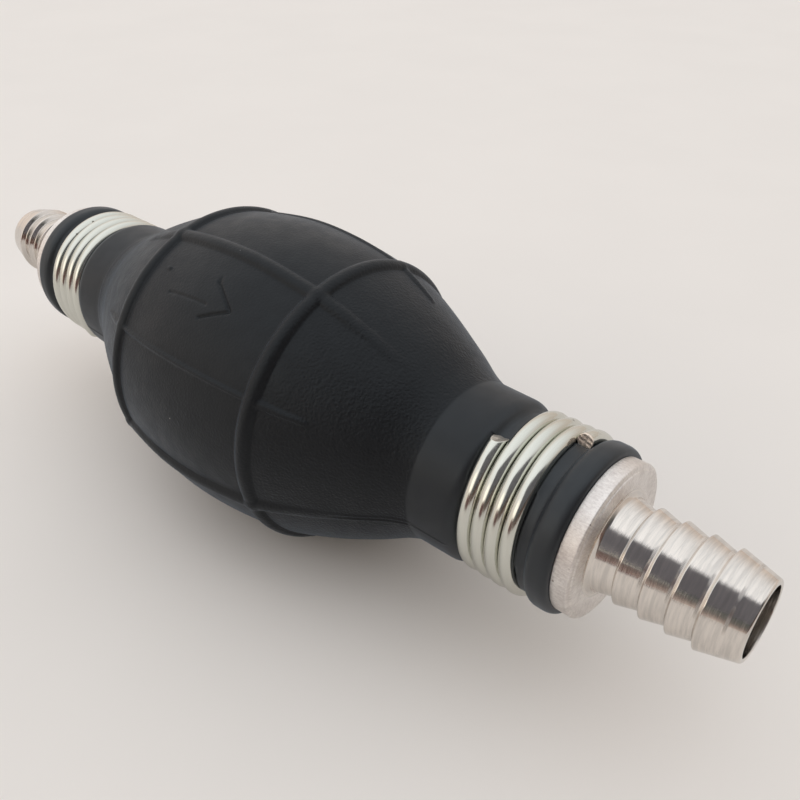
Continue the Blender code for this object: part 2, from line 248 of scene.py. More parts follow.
class Nodes:
    """Short calls for building one node tree."""

    def __init__(self, tree):
        self.tree = tree

    def add(self, kind, inputs=None, **settings):
        node = self.tree.nodes.new(kind)
        for key, value in settings.items():
            setattr(node, key, value)
        for key, value in (inputs or {}).items():
            if isinstance(value, bpy.types.NodeSocket):
                self.tree.links.new(value, node.inputs[key])
            else:
                node.inputs[key].default_value = value
        return node

    def math(self, operation, a, b=0.0, c=0.0):
        return self.add("ShaderNodeMath", {0: a, 1: b, 2: c}, operation=operation).outputs[0]

    def dot(self, vector, fixed):
        return self.add("ShaderNodeVectorMath", {0: vector, 1: fixed},
                        operation="DOT_PRODUCT").outputs["Value"]

    def ramp(self, value, low, high, to_low=0.0, to_high=1.0):
        """A smooth step of value between low and high, which may run downwards."""
        if low > high:
            low, high, to_low, to_high = high, low, to_high, to_low
        inputs = {"Value": value, "From Min": low, "From Max": high,
                  "To Min": to_low, "To Max": to_high}
        return self.add("ShaderNodeMapRange", inputs,
                        interpolation_type="SMOOTHSTEP").outputs["Result"]

    def mix(self, factor, a, b):
        """Mix two colours."""
        node = self.add("ShaderNodeMix", {0: factor, 6: a, 7: b}, data_type="RGBA")
        return node.outputs[2]

    def mix_values(self, factor, a, b):
        return self.add("ShaderNodeMix", {0: factor, 2: a, 3: b}).outputs[0]

    def scale(self, vector, by):
        return self.add("ShaderNodeVectorMath", {0: vector, "Scale": by},
                        operation="SCALE").outputs["Vector"]

    def noise(self, vector, scale, detail=2.0, roughness=0.5):
        inputs = {"Vector": vector, "Scale": scale, "Detail": detail, "Roughness": roughness}
        return self.add("ShaderNodeTexNoise", inputs).outputs["Fac"]

    def varied(self, noise, low, high):
        """A value that a noise moves between low and high."""
        return self.ramp(noise, *NOISE_RANGE, low, high)

    def place(self):
        """The shaded point in the piece's own space, in millimetres."""
        return self.scale(self.add("ShaderNodeTexCoord").outputs["Object"], 1 / MM)

    def around_x(self, place):
        """x, radius and angle about X of a place, as three sockets."""
        split = self.add("ShaderNodeSeparateXYZ", {"Vector": place})
        x, y, z = (split.outputs[k] for k in "XYZ")
        squares = self.math("ADD", self.math("MULTIPLY", y, y), self.math("MULTIPLY", z, z))
        return x, self.math("SQRT", squares), self.math("ARCTAN2", y, z)

    def streaks(self, a, a_scale, b, b_scale, c=0.0, detail=3, roughness=0.5):
        """Noise over the values a, b and c, with a and b scaled."""
        inputs = {"X": self.math("MULTIPLY", a, a_scale), "Y": self.math("MULTIPLY", b, b_scale), "Z": c}
        vector = self.add("ShaderNodeCombineXYZ", inputs).outputs["Vector"]
        return self.noise(vector, 1.0, detail, roughness)

    def bump(self, height, depth_mm, normal=None):
        inputs = {"Height": height, "Distance": depth_mm * MM, "Strength": 1.0}
        if normal:
            inputs["Normal"] = normal
        return self.add("ShaderNodeBump", inputs).outputs["Normal"]


def new_material(name):
    material = bpy.data.materials.new(name)
    material.use_nodes = True
    nodes = Nodes(material.node_tree)
    return material, nodes, material.node_tree.nodes["Principled BSDF"]


def feed(nodes, shader, **sockets):
    """Set or link the shader's inputs; underscores stand for spaces."""
    for key, value in sockets.items():
        socket = shader.inputs[key.replace("_", " ")]
        if isinstance(value, bpy.types.NodeSocket):
            nodes.tree.links.new(value, socket)
        else:
            socket.default_value = value


# ------------------------------------------------------------------- materials

def dust(nodes, place, cell_mm, speck_mm, share):
    """1 on specks about speck_mm wide, in a share of the cells, which are cell_mm wide."""
    cells = nodes.add("ShaderNodeTexVoronoi", {"Vector": place, "Scale": 1 / cell_mm})
    near = nodes.ramp(cells.outputs["Distance"], speck_mm / cell_mm, 0.5 * speck_mm / cell_mm)
    pick = nodes.add("ShaderNodeSeparateColor", {"Color": cells.outputs["Color"]}).outputs["Red"]
    return nodes.math("MULTIPLY", near, nodes.math("LESS_THAN", pick, share))


def bulb_rubber():
    """Black moulded rubber: a leathery grain on the belly and smooth collars."""
    material, nodes, shader = new_material("bulb_rubber")
    place = nodes.place()
    x, _, _ = nodes.around_x(place)
    station = nodes.math("ABSOLUTE", x)
    on_belly = nodes.ramp(station, COLLAR_START + 0.3, COLLAR_START - 0.3)
    patchy = nodes.noise(place, 0.08, 3)
    colour = nodes.mix(on_belly, nodes.mix(patchy, *COLLAR_BLACKS), nodes.mix(patchy, *BELLY_BLACKS))
    specks = dust(nodes, place, cell_mm=5.0, speck_mm=0.2, share=0.3)
    colour = nodes.mix(nodes.math("MULTIPLY", specks, 0.8), colour, DUST)
    pebbles = nodes.add("ShaderNodeTexVoronoi", {"Vector": place, "Scale": GRAIN_SCALE},
                        feature="SMOOTH_F1").outputs["Distance"]
    fine = nodes.math("MULTIPLY", nodes.noise(place, 4.5, 2, 0.5), 0.6)
    coarse = nodes.ramp(station, HOOP_STATION - 1, HOOP_STATION + 5, 0.4, 1.0)
    grain = nodes.math("MULTIPLY", nodes.math("ADD", pebbles, fine), on_belly)
    grain = nodes.math("MULTIPLY", grain, coarse)
    scuffs = nodes.noise(place, 9.0, 2)
    normal = nodes.bump(grain, GRAIN_DEPTH, nodes.bump(scuffs, 0.006))
    roughness = nodes.varied(nodes.noise(place, 0.35, 4), 0.42, 0.5)
    smooth_gloss = nodes.ramp(station, COLLAR_ROUND, COLLAR_END, 0.4, 0.62)
    gloss = nodes.mix_values(on_belly, smooth_gloss, 0.3)
    # The gloss and sheen tints paint a bluish cast of sky light onto the rubber's reflections
    feed(nodes, shader, Base_Color=colour, Roughness=roughness, Normal=normal,
         Specular_IOR_Level=gloss, Specular_Tint=PAINTED_SKY_GLOSS_TINT,
         Sheen_Weight=0.16, Sheen_Roughness=0.35, Sheen_Tint=PAINTED_SKY_SHEEN_TINT)
    return material


def seal_rubber():
    """Smooth nitrile with a trace of mould bloom."""
    material, nodes, shader = new_material("seal_rubber")
    place = nodes.place()
    bloom = nodes.noise(place, 1.2, 3)
    colour = nodes.mix(bloom, *SEAL_BLACKS)
    roughness = nodes.varied(bloom, 0.38, 0.5)
    feed(nodes, shader, Base_Color=colour, Roughness=roughness,
         Normal=nodes.bump(nodes.noise(place, 8.0), 0.01))
    return material


def tool_chatter(nodes, station, angle):
    """Slanting tool marks in a narrow band near the thin end of each tooth of the barb."""
    tooth = nodes.math("DIVIDE", nodes.math("SUBTRACT", station, FIRST_CREST), BARB_PITCH)
    in_tooth = nodes.math("FRACT", tooth)
    band = nodes.math("MULTIPLY", nodes.ramp(in_tooth, 0.74, 0.77), nodes.ramp(in_tooth, 0.88, 0.86))
    band = nodes.math("MULTIPLY", band, nodes.ramp(tooth, -0.05, 0.0))
    slant = nodes.math("ADD", nodes.math("MULTIPLY", angle, CHATTER_ROUND),
                       nodes.math("MULTIPLY", station, CHATTER_ALONG))
    return nodes.math("MULTIPLY", nodes.math("SINE", slant), band)


def turned_aluminium():
    """Bright turned aluminium: tool lines round the axis, chatter on the teeth, a satin flange."""
    material, nodes, shader = new_material("turned_aluminium")
    place = nodes.place()
    x, radius, angle = nodes.around_x(place)
    station = nodes.math("ABSOLUTE", x)
    along = nodes.math("ADD", station, radius)
    on_flange = nodes.math("MULTIPLY", nodes.ramp(radius, *SATIN_FROM),
                           nodes.ramp(station, FLANGE_BACK - 1, FLANGE_BACK - 0.5))
    lines = nodes.streaks(along, 9.0, angle, 0.35, roughness=0.6)
    broad = nodes.streaks(along, 2.4, angle, 0.9, c=3.0, detail=4, roughness=0.65)
    scratches = nodes.streaks(along, 1.3, angle, 34.0, detail=5, roughness=0.8)
    normal = nodes.bump(lines, 0.010)
    normal = nodes.bump(broad, 0.016, normal)
    normal = nodes.bump(tool_chatter(nodes, station, angle), 0.006, normal)
    normal = nodes.bump(nodes.math("MULTIPLY", scratches, on_flange), 0.07, normal)
    bright = nodes.mix(nodes.ramp(broad, 0.35, 0.65), *BRIGHT_ALUMINIUM)
    tarnish = nodes.math("MULTIPLY", nodes.noise(place, 0.5, 3), 0.4)
    scuffed = nodes.ramp(nodes.math("ADD", tarnish, scratches), 0.5, 0.9)
    colour = nodes.mix(on_flange, bright, nodes.mix(scuffed, *SATIN_ALUMINIUM))
    pits = dust(nodes, place, cell_mm=1.8, speck_mm=0.2, share=0.25)
    colour = nodes.mix(nodes.math("MULTIPLY", pits, on_flange), colour, PITS)
    polished = nodes.varied(nodes.noise(place, 0.8, 3), 0.10, 0.15)
    satin = nodes.varied(scratches, 0.28, 0.46)
    roughness = nodes.mix_values(on_flange, polished, satin)
    tangent = nodes.add("ShaderNodeTangent", direction_type="RADIAL", axis="X").outputs[0]
    feed(nodes, shader, Base_Color=colour, Metallic=1.0, Roughness=roughness, Normal=normal,
         Anisotropic=0.5, Anisotropic_Rotation=0.25, Tangent=tangent)
    return material


def zinc_plated_wire():
    """Bright zinc on drawn wire: faint draw streaks along it, and bare metal at the cut ends."""
    material, nodes, shader = new_material("zinc_plated_wire")
    place = nodes.place()
    x, radius, angle = nodes.around_x(place)
    streaks = nodes.streaks(x, 5.0, radius, 5.0, c=angle, roughness=0.6)
    cut = nodes.add("ShaderNodeAttribute", attribute_name="cut_end").outputs["Fac"]
    colour = nodes.mix(cut, nodes.mix(streaks, *ZINC), BARE_WIRE)
    marks = dust(nodes, place, cell_mm=2.6, speck_mm=0.3, share=0.16)
    colour = nodes.mix(marks, colour, WIRE_MARKS)
    roughness = nodes.mix_values(cut, nodes.varied(streaks, 0.13, 0.2), 0.42)
    rough_cut = nodes.math("MULTIPLY", nodes.noise(place, 4.0, 4, 0.7), cut)
    normal = nodes.bump(rough_cut, 0.06, nodes.bump(streaks, 0.010))
    feed(nodes, shader, Base_Color=colour, Metallic=1.0, Roughness=roughness, Normal=normal)
    return material


def spring_steel():
    """Plain stainless, drawn or stamped."""
    material, nodes, shader = new_material("spring_steel")
    place = nodes.place()
    _, radius, angle = nodes.around_x(place)
    drawn = nodes.streaks(radius, 14.0, angle, 1.0)
    feed(nodes, shader, Base_Color=nodes.mix(drawn, *STEEL), Metallic=1.0,
         Roughness=nodes.varied(drawn, 0.22, 0.34), Normal=nodes.bump(drawn, 0.006))
    return material


def white_nylon():
    """Natural moulded nylon: milky, slightly translucent at the edges."""
    material, nodes, shader = new_material("white_nylon")
    place = nodes.place()
    cloudy = nodes.noise(place, 0.9, 3)
    feed(nodes, shader, Base_Color=nodes.mix(cloudy, *NYLON),
         Roughness=nodes.varied(cloudy, 0.36, 0.5),
         Subsurface_Weight=0.15, Subsurface_Scale=0.5 * MM,
         Normal=nodes.bump(nodes.noise(place, 6.0, 3), 0.012))
    return material


# --------------------------------------------------------------- mesh helpers

def around(x, radius, degrees):
    """World point, in metres, at a place given by x, radius and angle about X."""
    angle = np.radians(degrees)
    return np.stack([x, -radius * np.sin(angle), radius * np.cos(angle)], -1) * MM


def grid_mesh(name, points, wrap_rows):
    """A mesh from a rows x columns grid of points, closed round the columns."""
    rows, columns = points.shape[:2]
    index = np.arange(rows * columns).reshape(rows, columns)
    if wrap_rows:
        index = np.vstack([index, index[:1]])
    here, there = index[:-1], index[1:]
    faces = np.stack([here, np.roll(here, -1, 1), np.roll(there, -1, 1), there], -1)
    mesh = bpy.data.meshes.new(name)
    mesh.from_pydata(points.reshape(-1, 3).tolist(), [], faces.reshape(-1, 4).tolist())
    return mesh


def finish_mesh(mesh, merge=True):
    """Merge points that meet, turn the faces outwards and shade smooth."""
    bm = bmesh.new()
    bm.from_mesh(mesh)
    tiny = 1e-8
    if merge:
        bmesh.ops.remove_doubles(bm, verts=bm.verts, dist=tiny)
        bmesh.ops.dissolve_degenerate(bm, edges=bm.edges, dist=tiny)
    bmesh.ops.recalc_face_normals(bm, faces=bm.faces)
    bm.to_mesh(mesh)
    bm.free()
    mesh.shade_smooth()
    return mesh


def add_piece(name, mesh, material, body, replaces):
    """A new piece in place of a CAD node; body is None for one that is blended instead."""
    piece = bpy.data.objects.new(name, mesh)
    bpy.context.collection.objects.link(piece)
    piece.data.materials.append(material)
    if body:
        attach(piece, body)
    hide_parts(replaces)
    return piece


def cad_outline(node):
    """The (x, radius) outline, in millimetres, that a turned CAD node was spun from."""
    bm = bmesh.new()
    bm.from_mesh(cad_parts[node].data)
    tiny = 1e-6
    bmesh.ops.remove_doubles(bm, verts=bm.verts, dist=tiny)
    ring = {v for v in bm.verts if abs(v.co.y) < tiny and v.co.z > -tiny}
    links = {v: [e.other_vert(v) for e in v.link_edges if e.other_vert(v) in ring] for v in ring}
    ends = [v for v in ring if len(links[v]) == 1]
    start = min(ends or ring, key=lambda v: (v.co.x, v.co.z))
    chain = [start]
    while True:
        ahead = [v for v in links[chain[-1]] if v not in chain]
        if not ahead:
            break
        chain.append(ahead[0])
    outline = [(v.co.x / MM, v.co.z / MM) for v in chain]
    bm.free()
    return outline, not ends


def rounded(outline, closed, radius, steps=3):
    """The outline with each real corner turned into a small arc."""
    points = [Vector(p) for p in outline]
    count = len(points)
    result = []
    for i, corner in enumerate(points):
        at_end = not closed and i in (0, count - 1)
        before, after = points[i - 1] - corner, points[(i + 1) % count] - corner
        if at_end or before.angle(after) > math.radians(NEARLY_STRAIGHT):
            result.append(tuple(corner))
            continue
        reach = min(radius, 0.4 * before.length, 0.4 * after.length)
        start, end = corner + before.normalized() * reach, corner + after.normalized() * reach
        for k in range(steps + 1):
            t = k / steps
            point = start * (1 - t) ** 2 + corner * 2 * t * (1 - t) + end * t ** 2
            result.append(tuple(point))
    return result


def turned_piece(name, outline, closed, material, body, replaces, sides):
    """Spin an outline about X, with normals that follow its long faces."""
    outline = rounded(outline, closed, EDGE_ROUND)
    x, radius = (np.array(values)[:, None] for values in zip(*outline))
    angles = np.arange(sides)[None, :] * 360 / sides
    shape = np.broadcast(x, angles).shape
    points = around(np.broadcast_to(x, shape), np.broadcast_to(radius, shape), angles)
    mesh = finish_mesh(grid_mesh(name, points, closed))
    piece = add_piece(name, mesh, material, body, replaces)
    piece.modifiers.new("face_normals", "WEIGHTED_NORMAL")
    return piece


# ---------------------------------------------------------------- rubber bulb

def through(knots, station):
    """A smooth curve through (station, radius) knots, level at the first."""
    s, r = np.array(knots).T
    slope = np.gradient(r, s)
    slope[0] = 0.0
    slope[-1] = (r[-1] - r[-2]) / (s[-1] - s[-2])
    i = np.clip(np.searchsorted(s, station, side="right") - 1, 0, len(s) - 2)
    width = s[i + 1] - s[i]
    t = (station - s[i]) / width
    return ((2 * t ** 3 - 3 * t ** 2 + 1) * r[i] + (t ** 3 - 2 * t ** 2 + t) * width * slope[i]
            + (3 * t ** 2 - 2 * t ** 3) * r[i + 1] + (t ** 3 - t ** 2) * width * slope[i + 1])


def quarter(t):
    """A quarter circle's height: 1 at t = 0, falling to 0 at t = 1."""
    return np.sqrt(1 - np.clip(t, 0, 1) ** 2)


def bulb_radius(station):
    """Outer radius of the plain bulb, without ribs or wire seats."""
    knots = BELLY + [(COLLAR_START, COLLAR_R + COLLAR_TAPER)]
    belly = through(knots, np.minimum(station, COLLAR_START))
    taper = np.clip((COLLAR_ROUND - station) / COLLAR_TAPER_RUN, 0, 1)
    collar = COLLAR_R + COLLAR_TAPER * taper
    fall = (station - COLLAR_ROUND) / (COLLAR_END - COLLAR_ROUND)
    neck = NECK_R + (collar - NECK_R) * quarter(fall)
    rise = (BEAD_CREST - station) / (BEAD_CREST - BEAD_START)
    turn_in = (station - BEAD_TURN) / (BEAD_END - BEAD_TURN)
    bead = NECK_R + (BEAD_R - NECK_R) * quarter(rise) - BEAD_EDGE * (1 - quarter(turn_in))
    return np.where(station < COLLAR_START, belly, np.where(station < BEAD_START, neck, bead))


def bulb_bore(station):
    """Inner radius of the bulb."""
    belly_end, _ = BELLY[-1]
    belly = through(BELLY, np.minimum(station, belly_end)) - WALL
    to_neck = np.interp(station, BORE_TAPER, [belly.min(), NECK_BORE_R])
    return np.where(station < BORE_TAPER[0], belly, to_neck)


def dome(distance, half):
    """A rounded ridge's section: 1 at its middle, 0 from half outwards, with steep feet."""
    return np.clip(1 - (distance / half) ** 2, 0, 1) ** 0.7


def fade(value, start, end):
    """Smoothly 1 before start and 0 after end."""
    t = np.clip((value - start) / (end - start), 0, 1)
    return 1 - t * t * (3 - 2 * t)


def joined(a, b):
    """Two heights run together softly."""
    return (a ** 3 + b ** 3) ** (1 / 3)


def round_from(angle, degrees, radius):
    """Distance round the bulb from an angle about X."""
    turn = (degrees - angle + 180) % 360 - 180
    return np.radians(turn) * radius


def strong_rib(x, distance, phase):
    """A long rib that wanders a little outside the hoops and runs out on the shoulders."""
    past_hoop = np.clip((np.abs(x) - HOOP_STATION) / (STUB_END - HOOP_STATION), 0, 1)
    wander = STUB_WANDER * (np.sin(1.1 * x + phase) + 0.5 * np.sin(2.9 * x))
    run = (1 - past_hoop) ** 1.1
    half = STRONG_HALF * (STUB_WIDTH + (1 - STUB_WIDTH) * run)
    return STRONG_HEIGHT * run * dome(distance + wander * past_hoop, half)


def parting_line(station, distance, inside):
    """The mould's parting line: doubled on the shoulders, and single across the collars."""
    on_shoulder = fade(station, PARTING_END - 0.8, PARTING_END) * (1 - inside)
    twin = np.maximum(dome(distance - PARTING_OFFSET, LINE_HALF),
                      dome(distance + PARTING_OFFSET, LINE_HALF))
    on_collar = ((1 - fade(station, PARTING_END - 0.5, PARTING_END + 0.3))
                 * fade(station, COLLAR_ROUND - 0.5, COLLAR_ROUND + 1))
    single = dome(distance, LINE_HALF) * on_collar
    return LINE_HEIGHT * np.maximum(TWIN_SHARE * twin * on_shoulder, single)


def fine_rib(station, distance, inside):
    """A fine rib between the hoops, which goes on outside them as a short tapering bar."""
    line = FINE_HEIGHT * inside * dome(distance, FINE_HALF)
    taper = 1 - BAR_TAPER * np.clip((station - HOOP_STATION) / (BAR_END - HOOP_STATION), 0, 1)
    bar = (1 - inside) * taper * fade(station, BAR_END - 0.5, BAR_END)
    return line + BAR_HEIGHT * bar * dome(distance, BAR_HALF * taper)


def rib_heights(x, degrees, radius):
    """Height of every moulded rib and line above the plain belly."""
    station = np.abs(x)
    inside = fade(station, HOOP_STATION - 0.4, HOOP_STATION + 0.4)
    height = HOOP_HEIGHT * dome(station - HOOP_STATION, HOOP_HALF)
    for angle in STRONG_RIB_ANGLES:
        height = joined(height, strong_rib(x, round_from(angle, degrees, radius), angle))
    for angle in PARTING_ANGLES:
        line = parting_line(station, round_from(angle, degrees, radius), inside)
        height = np.maximum(height, line)
    for angle in FINE_RIB_ANGLES:
        height = joined(height, fine_rib(station, round_from(angle, degrees, radius), inside))
    return height


def arrow_depth(x, degrees, radius):
    """Depth of the engraved flow arrow."""
    depth = np.zeros_like(x)
    here = np.stack([x, np.radians(degrees) * radius], -1)
    for (x0, a0), (x1, a1), stroke_depth in ARROW_STROKES:
        start = np.array([x0, math.radians(a0) * BULB_R])
        line = np.array([x1, math.radians(a1) * BULB_R]) - start
        t = np.clip(((here - start) @ line) / (line @ line), 0, 1)
        off = np.linalg.norm(here - start - t[..., None] * line, axis=-1)
        depth = np.maximum(depth, stroke_depth * dome(off, ARROW_HALF))
    return depth


def pimple_height(x, degrees, radius):
    """One small moulding pimple on the front of the belly."""
    at_x, at_degrees = PIMPLE_PLACE
    off = np.hypot(x - at_x, np.radians(degrees - at_degrees) * radius)
    return PIMPLE_HEIGHT * dome(off, PIMPLE_HALF)


def waves(x, degrees):
    """Slight unevenness of the moulded belly, which runs out towards the collars."""
    height = -WAVES_SINK
    for size, along, start, count, turn in WAVES:
        height = height + size * np.sin(along * x + start) * np.sin(np.radians(count * degrees + turn))
    return height * fade(np.abs(x), *WAVES_END)


def wire_seat(station, degrees):
    """Radius the clamp's wire presses the neck in to (large where clear of it), and the clearance."""
    first = (degrees - CLAMP_START_DEG) % 360 / 360
    last = first + math.floor(CLAMP_TURNS) - (first > CLAMP_TURNS % 1)
    low, high = CLAMP_START + CLAMP_PITCH * first, CLAMP_START + CLAMP_PITCH * last
    away = np.maximum(np.maximum(low - station, station - high), 0)
    sink = WIRE_R + SEAT_GAP
    seat = CLAMP_R - np.sqrt(np.clip(sink ** 2 - away ** 2, 0, None))
    return np.where(away < sink, seat, CLEAR_OF_WIRE), away - sink


def pressed_by_wires(x, degrees, radius):
    """The neck's radius with a seat under each clamp's wire and the rubber swollen beside it."""
    for side, angle in ((1, degrees), (-1, INLET_CLAMP_TURN - degrees)):
        seat, clear = wire_seat(side * x, angle)
        on_neck = (side * x > COLLAR_END) & (side * x < BEAD_START)
        swell = NECK_SWELL * np.exp(-(clear / NECK_SWELL_WIDTH) ** 2) * on_neck
        radius = np.minimum(radius + swell, seat)
    return radius


def spaced(low, high, spacing):
    """Values from low to high whose steps follow spacing(value)."""
    values = [low]
    while values[-1] < high:
        values.append(values[-1] + spacing(values[-1]))
    values = np.array(values)
    return low + (values - low) * (high - low) / (values[-1] - low)


def row_spacing(x):
    """The mesh's step along X: fine where there is detail."""
    station = abs(x)
    if station > BEAD_TURN:
        return ROW_STEPS["bead edge"]
    if station > COLLAR_ROUND:
        return ROW_STEPS["neck"]
    if abs(station - HOOP_STATION) < HOOP_HALF + 0.7:
        return ROW_STEPS["hoop"]
    if abs(station - BAR_END) < 0.8:
        return ROW_STEPS["bar end"]
    on_mark = ARROW_ROWS[0] < x < ARROW_ROWS[1] or abs(x - PIMPLE_PLACE[0]) < 0.6
    return ROW_STEPS["mark" if on_mark else "plain"]


def column_spacing(degrees):
    """The mesh's step round X, in degrees."""
    def near(angles, reach):
        return any(abs((degrees - a + 180) % 360 - 180) < reach for a in angles)

    if MARK_COLUMNS[0] < degrees < MARK_COLUMNS[1]:
        return COLUMN_STEPS["mark"]
    if near(PARTING_ANGLES, 2.0):
        return COLUMN_STEPS["parting line"]
    on_rib = near(STRONG_RIB_ANGLES, 3.7) or near(FINE_RIB_ANGLES, 2.6)
    return COLUMN_STEPS["rib" if on_rib else "plain"]


def bulb_skin():
    """Grid of the bulb's outer points, with all its relief, and the angle of each column."""
    x = spaced(-BEAD_END, BEAD_END, row_spacing)[:, None]
    degrees = spaced(0.0, 360.0, column_spacing)[None, :-1]
    x, degrees = np.broadcast_arrays(x, degrees)
    station = np.abs(x)
    radius = bulb_radius(station)
    step = 0.01
    slope = (bulb_radius(station + step) - bulb_radius(np.abs(station - step))) / (2 * step)
    slope = slope * np.sign(x)
    height = rib_heights(x, degrees, radius) - arrow_depth(x, degrees, radius)
    height = height + pimple_height(x, degrees, radius) + waves(x, degrees)
    height = np.where(station < COLLAR_END - 1, height, 0)
    length = np.hypot(slope, 1)
    radius = pressed_by_wires(x, degrees, radius + height / length)
    return around(x - height * slope / length, radius, degrees), degrees[0]


def build_bulb(material):
    """The bulb as one closed skin: its outside, and the bore that joins it at both ends."""
    skin, degrees = bulb_skin()
    bore_x = np.concatenate([[BEAD_END], np.linspace(BEAD_END, -BEAD_END, BORE_ROWS), [-BEAD_END]])
    bore_r = bulb_bore(np.abs(bore_x))
    bore_r[[0, -1]] = (NECK_R + NECK_BORE_R) / 2
    shape = (len(bore_x), len(degrees))
    bore = around(np.broadcast_to(bore_x[:, None], shape),
                  np.broadcast_to(bore_r[:, None], shape),
                  np.broadcast_to(degrees, shape))
    mesh = finish_mesh(grid_mesh("rubber_bulb", np.concatenate([skin, bore]), True), merge=False)
    bulb = add_piece("rubber_bulb", mesh, material, None, "bulb")
    squeeze(bulb)
    return bulb


def squeeze(bulb):
    """Only the top of the bulb follows the squeeze; the dent runs out at the necks and below."""
    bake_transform(bulb, "root", "bulb", (0, 0, TABLE_Z * MM), (0, 0, BULB_R * MM))
    mesh = bulb.data
    points = np.empty(len(mesh.vertices) * 3, np.float32)
    mesh.vertices.foreach_get("co", points)
    x, _, z = points.reshape(-1, 3).T / MM
    share = fade(np.abs(x), *SQUEEZE_REACH) * (1 - fade(z, TABLE_Z, BULB_R))
    mesh.attributes["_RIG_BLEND"].data.foreach_set("value", share.astype(np.float32))


# ---------------------------------------------------------------- wire pieces

def wire_grid(line, along, radius, sides):
    """Points round a wire's centre line; along holds the arc length for each row and side."""
    angle = (np.arange(sides) * math.tau / sides)[:, None]
    step = 0.01
    centre = line(along)
    tangent = line(along + step) - line(along - step)
    tangent /= np.linalg.norm(tangent, axis=-1, keepdims=True)
    outward = centre * [0, 1, 1]
    outward -= (outward * tangent).sum(-1, keepdims=True) * tangent
    outward /= np.linalg.norm(outward, axis=-1, keepdims=True)
    sideways = np.cross(tangent, outward)
    return centre + radius * MM * (outward * np.cos(angle) + sideways * np.sin(angle))


def with_ends(grid, dish):
    """Close a wire's ends with rings that shrink to a point, hollowed by dish millimetres."""
    shrink = END_RINGS[:, None, None]

    def end_rings(ring, inner_ring):
        middle = ring.mean(0)
        inwards = inner_ring.mean(0) - middle
        inwards /= np.linalg.norm(inwards)
        return middle + (ring - middle) * shrink + inwards * dish * MM * (1 - shrink ** 2)

    return np.concatenate([end_rings(grid[0], grid[1])[::-1], grid, end_rings(grid[-1], grid[-2])])


def clamp_line(arc):
    """Centre line of the clamp's wire, in metres, with its ends sprung out a little."""
    turn = arc / (math.tau * CLAMP_R)
    from_end = np.minimum(arc, CLAMP_LENGTH - arc)
    lift = END_LIFT * np.exp(-(from_end / END_LIFT_REACH) ** 2)
    radius = CLAMP_R + lift + WANDER_R * np.sin(2.3 * math.tau * turn)
    x = CLAMP_START + CLAMP_PITCH * turn + WANDER_X * np.sin(1.7 * math.tau * turn)
    return around(x, radius, CLAMP_START_DEG + 360 * turn)


def roughened(points, share):
    """Points pushed about by small lumps, as on sheared metal."""
    lumps = sum(size * np.sin(points @ first) * np.sin(points @ second)
                for size, first, second in LUMPS)
    return points + (lumps * share)[..., None] * LUMP_PUSH * SHEAR_LUMPS * MM


def build_clamp(name, node, side, material):
    """Close-wound wire: its first end is cut obliquely, its last end is sheared and rough."""
    def gap(arc):
        return END_RING_GAP if min(arc, CLAMP_LENGTH - arc) < CUT_REACH else RING_GAP

    arc = spaced(0.0, CLAMP_LENGTH, gap)[:, None]
    angle = np.arange(WIRE_SIDES) * math.tau / WIRE_SIDES
    cut_back = CUT_SLOPE * WIRE_R * np.cos(angle) * np.clip(1 - arc / CUT_REACH, 0, 1)
    grid = with_ends(wire_grid(clamp_line, arc + cut_back, WIRE_R, WIRE_SIDES), END_DISH)
    sheared = fade(CLAMP_LENGTH - arc[:, 0], *SHEAR_REACH)
    caps = np.ones(len(END_RINGS))
    rough = np.concatenate([0 * caps, sheared, caps])[:, None] + np.zeros(WIRE_SIDES)
    bare = np.concatenate([CUT_BARE * caps, sheared, caps])[:, None] + np.zeros(WIRE_SIDES)
    mesh = grid_mesh(name, roughened(grid, rough), False)
    mesh.attributes.new("cut_end", "FLOAT", "POINT").data.foreach_set("value", bare.ravel())
    finish_mesh(mesh)
    if side < 0:
        mesh.transform(Matrix.Rotation(math.radians(INLET_CLAMP_TURN), 4, "X")
                       @ Matrix.Rotation(math.pi, 4, "Z"))
    return add_piece(name, mesh, material, "root", node)


def build_valve_spring(end, material):
    """A compression spring with close-wound end coils, made to fit its CAD node's box."""
    node = end + "_valve_spring"
    low, high = (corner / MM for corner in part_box(node))
    coil = high.z - SPRING_WIRE_R
    turns = [0, SPRING_CLOSED_TURNS, SPRING_TURNS - SPRING_CLOSED_TURNS, SPRING_TURNS]
    lifts = [0, SPRING_CLOSED_SHARE, 1 - SPRING_CLOSED_SHARE, 1]

    def line(arc):
        turn = arc / (math.tau * coil)
        lift = np.interp(turn, turns, lifts)
        x = low.x + SPRING_WIRE_R + (high.x - low.x - 2 * SPRING_WIRE_R) * lift
        return around(x, np.full_like(x, coil), 360 * turn)

    rows = round(SPRING_TURNS * SPRING_ROWS) + 1
    arc = np.linspace(0, SPRING_TURNS * math.tau * coil, rows)[:, None] + np.zeros(SPRING_SIDES)
    grid = with_ends(wire_grid(line, arc, SPRING_WIRE_R, SPRING_SIDES), 0.0)
    mesh = finish_mesh(grid_mesh(end + "_spring", grid, False))
    spring = add_piece(end + "_spring", mesh, material, "root", node)
    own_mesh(spring)


# ------------------------------------------------------------------- fittings

def on_rim(x, radius):
    """Whether an outline's point is where the flange's face meets its rim."""
    return abs(abs(x) - FLANGE_FACE) < 0.01 and abs(radius - FLANGE_R) < 0.5


def with_rim_step(outline, side):
    """The fitting's outline, running from the rim to the barb, with a fine step at the rim."""
    shoulder = side * (FLANGE_FACE - RIM_STEP_DEPTH)
    result = []
    for x, radius in outline:
        if on_rim(x, radius):
            inner = radius - RIM_STEP
            result += [(shoulder, radius), (shoulder, inner), (x, inner - RIM_STEP_SLOPE)]
        else:
            result.append((x, radius))
    return result


